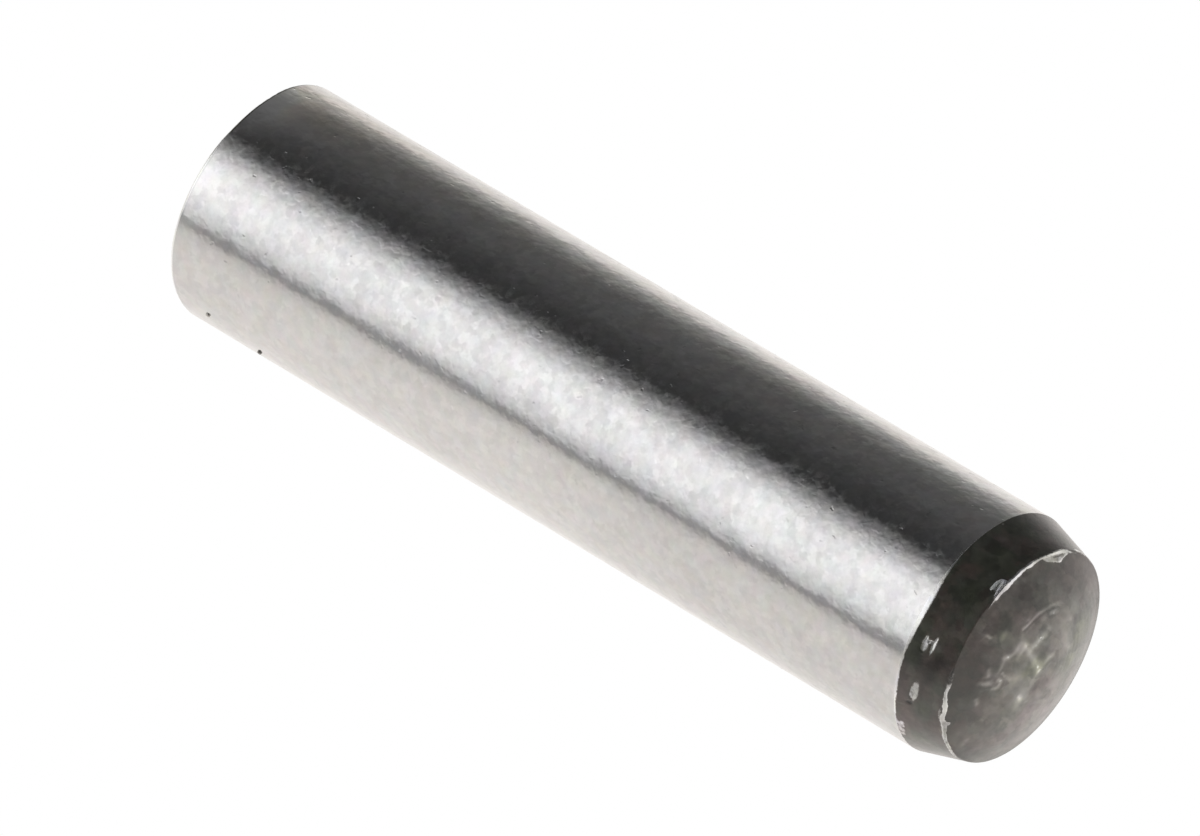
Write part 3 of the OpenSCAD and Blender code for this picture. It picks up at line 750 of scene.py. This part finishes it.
def ground_steel():
    """On the shank, worn and bare scale how strongly the grinding and the uneven polish show, and tone is
    how light the steel is; on the upper side near the tail it carries a painted highlight."""
    m, t = new_material("ground_steel")
    pos = t.node("ShaderNodeTexCoord").outputs["Object"]
    mm = t.vmath("MULTIPLY", pos, (1000, 1000, 1000))
    lit = t.node("ShaderNodeAttribute", attribute_name="tone").outputs["Fac"]
    warm = t.node("ShaderNodeAttribute", attribute_name="warm").outputs["Fac"]
    lively = t.node("ShaderNodeAttribute", attribute_name="worn").outputs["Fac"]
    uneven = t.node("ShaderNodeAttribute", attribute_name="bare").outputs["Fac"]
    # unevenness left by grinding
    broad = t.noise(mm, 1.7, 1.0, 0.5)
    grain = t.noise(mm, 4.6, 1.0, 0.45)
    cloud = t.noise(t.vmath("ADD", mm, (5.0, 17.0, 9.0)), 0.9, 2.0, 0.5)
    tint = t.noise(t.vmath("ADD", mm, (31.0, 7.0, 3.0)), 3.4, 2.0, 0.6)
    matt = t.noise(t.vmath("ADD", mm, (3.0, 41.0, 13.0)), 6.0, 1.0, 0.5)
    film = t.node("ShaderNodeTexNoise", {"Vector": mm, "Scale": 2.6, "Detail": 2.0}).outputs["Color"]
    # small flats, each with its own polish
    drift = t.node("ShaderNodeTexNoise", {"Vector": mm, "Scale": 6.0, "Detail": 1.0}).outputs["Color"]
    bent = t.vmath("ADD", mm, t.vmath("MULTIPLY", drift, (0.26, 0.26, 0.26)))
    flats = t.node("ShaderNodeTexVoronoi", {"Vector": bent, "Scale": 6.0, "Smoothness": 0.7, "Randomness": 1.0}, feature="SMOOTH_F1")
    parts = t.node("ShaderNodeSeparateColor", {0: flats.outputs["Color"]})
    polish, shade = parts.outputs[0], t.math("SUBTRACT", parts.outputs[1], 0.5)
    # sparse nicks and burnished specks
    cells = t.node("ShaderNodeTexVoronoi", {"Vector": bent, "Scale": 4.0, "Randomness": 1.0}, feature="F1")
    lot = t.node("ShaderNodeSeparateColor", {0: cells.outputs["Color"]})
    spot = t.remap(cells.outputs["Distance"], 0.05, 0.24, 1, 0, "SMOOTHSTEP")
    nick = t.math("MULTIPLY", spot, t.remap(lot.outputs[0], 0.78, 0.92, 0, 1))
    speck = t.math("MULTIPLY", spot, t.remap(lot.outputs[0], 0.22, 0.08, 0, 1))
    height = t.math("ADD", t.math("MULTIPLY", broad, 1.7), t.math("MULTIPLY", grain, 0.9))
    height = t.math("ADD", height, t.math("MULTIPLY", shade, 0.24))
    height = t.math("SUBTRACT", height, t.math("MULTIPLY", nick, 0.55))
    height = t.math("MULTIPLY", t.math("SUBTRACT", height, 1.3), lively)
    bump = t.node("ShaderNodeBump", {"Strength": 1.0, "Distance": 0.0000052, "Height": height})
    tone = t.math("ADD", t.math("MULTIPLY", t.math("SUBTRACT", tint, 0.5), 0.72), t.math("MULTIPLY", t.math("SUBTRACT", cloud, 0.5), 0.60))
    tone = t.math("ADD", tone, t.math("MULTIPLY", shade, 0.50))
    tone = t.math("ADD", tone, t.math("MULTIPLY", t.math("SUBTRACT", speck, nick), 0.45))
    tone = t.math("MULTIPLY", tone, t.math("MINIMUM", lively, uneven))
    tone = t.math("ADD", t.math("ADD", tone, lit), 0.52, clamp=True)
    base = t.mix(tone, (0.50, 0.50, 0.50, 1), (0.72, 0.718, 0.714, 1))
    base = t.vmath("MULTIPLY", base, t.vmath("ADD", (0.945, 0.945, 0.94), t.vmath("MULTIPLY", film, (0.11, 0.11, 0.12))))
    base = t.mix(warm, base, t.vmath("MULTIPLY", base, (1.03, 0.985, 0.93)))
    # painted highlight: where tone is high, on the upper side near the tail, the steel is made up to half again lighter
    base = t.mix(t.remap(lit, 0.6, 1.6, 0, 1), base, t.vmath("MULTIPLY", base, (1.50, 1.49, 1.48)))
    rough = t.math("ADD", t.remap(matt, 0.35, 0.65, -0.025, 0.025), t.remap(polish, 0.45, 0.75, -0.015, 0.075))
    rough = t.math("ADD", t.math("MULTIPLY", rough, uneven), 0.125)
    p = t.node("ShaderNodeBsdfPrincipled", {"Base Color": base, "Metallic": 1.0, "Roughness": rough, "Normal": bump.outputs[0]})
    t.node("ShaderNodeOutputMaterial", {"Surface": p.outputs[0]})
    return m


def dark_scale():
    m, t = new_material("dark_scale")
    pos = t.node("ShaderNodeTexCoord").outputs["Object"]
    # the scale's patches are longer one way
    turned = t.node("ShaderNodeMapping", {"Vector": pos, "Rotation": (math.radians(51.2), 0.0, 0.0)}).outputs[0]
    mm = t.vmath("MULTIPLY", turned, (1150, 690, 1150))
    grain = t.noise(mm, 5.5, 2.0, 0.5)
    pool = t.noise(t.vmath("ADD", mm, (7.0, 3.0, 11.0)), 2.3, 2.0, 0.5)
    film = t.node("ShaderNodeTexNoise", {"Vector": mm, "Scale": 1.8, "Detail": 2.0}).outputs["Color"]
    speck = t.noise(mm, 22.0, 2.0, 0.5)
    drift = t.node("ShaderNodeTexNoise", {"Vector": mm, "Scale": 4.0, "Detail": 2.0}).outputs["Color"]
    bent = t.vmath("ADD", mm, t.vmath("MULTIPLY", drift, (0.45, 0.45, 0.45)))
    flakes = t.node("ShaderNodeTexVoronoi", {"Vector": bent, "Scale": 3.4, "Smoothness": 0.5, "Randomness": 1.0}, feature="SMOOTH_F1")
    parts = t.node("ShaderNodeSeparateColor", {0: flakes.outputs["Color"]})
    blotch, hue = t.math("SUBTRACT", parts.outputs[0], 0.5), t.math("SUBTRACT", parts.outputs[1], 0.5)
    bare_f, worn_f, tone_f, warm_f, matt_f = (t.node("ShaderNodeAttribute", attribute_name=n).outputs["Fac"] for n in ("bare", "worn", "tone", "warm", "matt"))
    # bare metal has ragged edges finer than the mesh
    ragged = t.math("ADD", bare_f, t.math("MULTIPLY", t.math("SUBTRACT", speck, 0.5), 0.6))
    bare = t.remap(ragged, 0.24, 0.80, 0, 1, "SMOOTHSTEP")
    mottle = t.math("ADD", t.math("MULTIPLY", t.math("SUBTRACT", grain, 0.5), 1.3), t.math("MULTIPLY", t.math("SUBTRACT", pool, 0.5), 1.5))
    mottle = t.math("ADD", 1.0, t.math("ADD", mottle, t.math("MULTIPLY", blotch, 1.0)))
    # the mottling shows less where the scale is mostly gone
    swing = t.math("DIVIDE", t.math("MULTIPLY", worn_f, 0.27), t.math("ADD", worn_f, 0.13))
    worn = t.math("ADD", worn_f, t.math("MULTIPLY", t.math("SUBTRACT", mottle, 1.0), swing), clamp=True)
    metal = t.math("MAXIMUM", bare, worn)
    light = t.math("ADD", t.math("MULTIPLY", t.math("SUBTRACT", pool, 0.5), 0.8), t.math("ADD", t.math("MULTIPLY", t.math("SUBTRACT", grain, 0.5), 0.5), t.math("MULTIPLY", blotch, 0.45)))
    light = t.math("ADD", t.math("ADD", light, t.math("MULTIPLY", tone_f, 0.30)), 0.48, clamp=True)
    olive = t.mix(light, (0.040, 0.043, 0.034, 1), (0.100, 0.107, 0.083, 1))
    brown = t.mix(light, (0.056, 0.0455, 0.039, 1), (0.132, 0.105, 0.089, 1))
    coat = t.mix(t.math("ADD", warm_f, t.math("MULTIPLY", hue, 1.0), clamp=True), olive, brown)
    steel = t.mix(bare, (0.66, 0.64, 0.60, 1), (0.88, 0.885, 0.885, 1))
    steel = t.mix(t.remap(tone_f, 0.0, -1.6, 0.0, 1.0), steel, t.vmath("MULTIPLY", steel, (0.36, 0.36, 0.345)))
    coat = t.mix(t.remap(tone_f, -1.0, -1.6, 0.0, 1.0), coat, t.vmath("MULTIPLY", coat, (0.35, 0.35, 0.35)))
    # rose and green casts, weaker on bare metal
    cast = t.math("SUBTRACT", 1.0, t.math("MULTIPLY", bare, 0.6))
    coat = t.mix(metal, coat, steel)
    coat = t.mix(t.math("MULTIPLY", t.remap(warm_f, 0.9, 1.8, 0.0, 1.0), cast), coat, t.vmath("MULTIPLY", coat, (1.06, 0.96, 1.03)))
    coat = t.mix(t.math("MULTIPLY", t.remap(warm_f, 0.1, -0.8, 0.0, 1.0), cast), coat, t.vmath("MULTIPLY", coat, (0.98, 1.025, 0.86)))
    colour = t.vmath("MULTIPLY", coat, t.vmath("ADD", (0.955, 0.955, 0.92), t.vmath("MULTIPLY", film, (0.09, 0.09, 0.16))))
    colour = t.vmath("MULTIPLY", colour, t.vmath("ADD", (1.0, 1.0, 0.91), t.vmath("MULTIPLY", drift, (0.0, 0.0, 0.18))))
    rough = t.math("SUBTRACT", t.math("ADD", 0.27, t.math("MULTIPLY", speck, 0.20)), t.math("MULTIPLY", bare, 0.08))
    # torn metal scatters the light
    torn = t.remap(worn_f, 0.90, 1.0, 0.0, 1.0)
    rough = t.math("ADD", t.math("ADD", rough, t.math("MULTIPLY", torn, 0.32)), matt_f)
    height = t.math("ADD", grain, t.math("MULTIPLY", speck, 0.25))
    bump = t.node("ShaderNodeBump", {"Strength": 1.0, "Distance": 0.000006, "Height": height})
    p = t.node("ShaderNodeBsdfPrincipled", {"Base Color": colour, "Metallic": metal, "Roughness": rough, "IOR": 1.46, "Coat Weight": 0.6, "Coat Roughness": 0.22, "Coat IOR": 1.4,
                                            "Normal": bump.outputs[0]})
    t.node("ShaderNodeOutputMaterial", {"Surface": p.outputs[0]})
    return m


mesh.materials.append(ground_steel())
mesh.materials.append(dark_scale())

# ---------------------------------------------------------------------------
# Studio: a white table under the pin, a soft box at the left front, and a dim
# room overhead.
# ---------------------------------------------------------------------------
half = 1.2
fm = bpy.data.meshes.new("table")
fm.from_pydata([(-half, -half, -R * 0.001), (half, -half, -R * 0.001), (half, half, -R * 0.001), (-half, half, -R * 0.001)], [], [(0, 1, 2, 3)])
fm.update()
table = bpy.data.objects.new("table", fm)
bpy.context.scene.collection.objects.link(table)
m, t = new_material("white_table")
pos = t.node("ShaderNodeTexCoord").outputs["Object"]
dist = t.node("ShaderNodeVectorMath", {0: pos}, operation="LENGTH").outputs["Value"]
fall = t.math("ADD", 0.36, t.math("DIVIDE", 0.68, t.math("ADD", 1.0, t.math("POWER", t.math("DIVIDE", dist, 0.057), 1.6))))
camera_ray = t.node("ShaderNodeLightPath").outputs["Is Camera Ray"]
strength = t.math("ADD", t.math("MULTIPLY", fall, t.math("SUBTRACT", 1.0, camera_ray)), camera_ray)
tint = t.mix(camera_ray, (1.04, 1.0, 0.965, 1), (1.0, 1.0, 1.0, 1))
em = t.node("ShaderNodeEmission", {"Color": tint, "Strength": strength})
t.node("ShaderNodeOutputMaterial", {"Surface": em.outputs[0]})
fm.materials.append(m)

world = bpy.data.worlds.new("studio")
bpy.context.scene.world = world
world.use_nodes = True
t = Tree(world.node_tree)
direction = t.node("ShaderNodeTexCoord").outputs["Generated"]
xyz = t.node("ShaderNodeSeparateXYZ", {0: direction})
around = t.math("MULTIPLY", t.math("ARCTAN2", xyz.outputs[2], t.math("MULTIPLY", xyz.outputs[1], -1.0)), 180 / math.pi)


def curve(t, v, points):
    """A piecewise linear function of v through (x, y) points."""
    lo, hi = points[0][0], points[-1][0]
    n = t.node("ShaderNodeFloatCurve", {"Value": t.remap(v, lo, hi, 0, 1)})
    c = n.mapping.curves[0]
    top = max(p[1] for p in points)
    for k, (x, y) in enumerate(points):
        px, py = (x - lo) / (hi - lo), y / top
        if k == 0:
            c.points[0].location = (px, py)
        elif k == len(points) - 1:
            c.points[-1].location = (px, py)
        else:
            c.points.new(px, py)
    for p in c.points:
        p.handle_type = "VECTOR"
    n.mapping.use_clip = True
    n.mapping.update()
    return t.math("MULTIPLY", n.outputs[0], top)


room = curve(t, around, [(-20, 0.5), (-2, 0.45), (0, 0.16), (3, 0.16), (30, 0.10), (90, 0.045), (110, 0.066), (130, 0.105), (150, 0.125), (160, 0.17), (170, 0.28), (180, 0.44)])
box = curve(t, around, [(0, 0.185), (1.5, 0.20), (3.2, 0.265), (5.2, 0.385), (7.2, 0.55), (9.2, 0.69), (11.2, 0.75), (13.2, 0.80), (17, 0.94), (23, 1.08), (30, 1.2), (40, 1.25), (52, 1.23), (62, 0.95), (69, 0.62), (75, 0.37), (79, 0.2), (83, 0.11), (88, 0.02), (92, 0)])
side = t.remap(xyz.outputs[0], -0.12, -0.34, 0, 1, "SMOOTHSTEP")
light = t.math("ADD", room, t.math("MULTIPLY", box, side))
camera_ray = t.node("ShaderNodeLightPath").outputs["Is Camera Ray"]
light = t.math("ADD", t.math("MULTIPLY", light, t.math("SUBTRACT", 1.0, camera_ray)), camera_ray)
dusk = t.math("MULTIPLY", t.remap(around, 135, 165, 0, 1, "SMOOTHSTEP"), t.math("SUBTRACT", 1.0, camera_ray))
sky = t.mix(dusk, (1.006, 0.998, 1.004, 1), (1.010, 1.0, 0.972, 1))
bg = t.node("ShaderNodeBackground", {"Color": sky, "Strength": light})
t.node("ShaderNodeOutputWorld", {"Surface": bg.outputs[0]})

# ---------------------------------------------------------------------------
# Camera, at the viewing angle of the picture
# ---------------------------------------------------------------------------
AZ, EL = math.radians(41.694928), math.radians(42.074373)
cam_data = bpy.data.cameras.new("camera")
cam_data.sensor_fit = "HORIZONTAL"
cam_data.sensor_width = 36.0
cam_data.lens = 584.3319
cam_data.clip_start = 0.01
cam_data.clip_end = 5.0
cam = bpy.data.objects.new("camera", cam_data)
bpy.context.scene.collection.objects.link(cam)
right = Vector((math.cos(AZ), math.sin(AZ), 0))
up = Vector((-math.sin(AZ) * math.sin(EL), math.cos(AZ) * math.sin(EL), math.cos(EL)))
back = Vector((math.sin(AZ) * math.cos(EL), -math.cos(AZ) * math.cos(EL), math.sin(EL)))
rot = Matrix((right, up, back)).transposed().to_4x4()
cam.matrix_world = Matrix.Translation(Vector((0.21712704, -0.24487096, 0.29564733))) @ rot
bpy.context.scene.camera = cam
bpy.context.scene.view_settings.view_transform = "Standard"
bpy.context.scene.view_settings.look = "None"
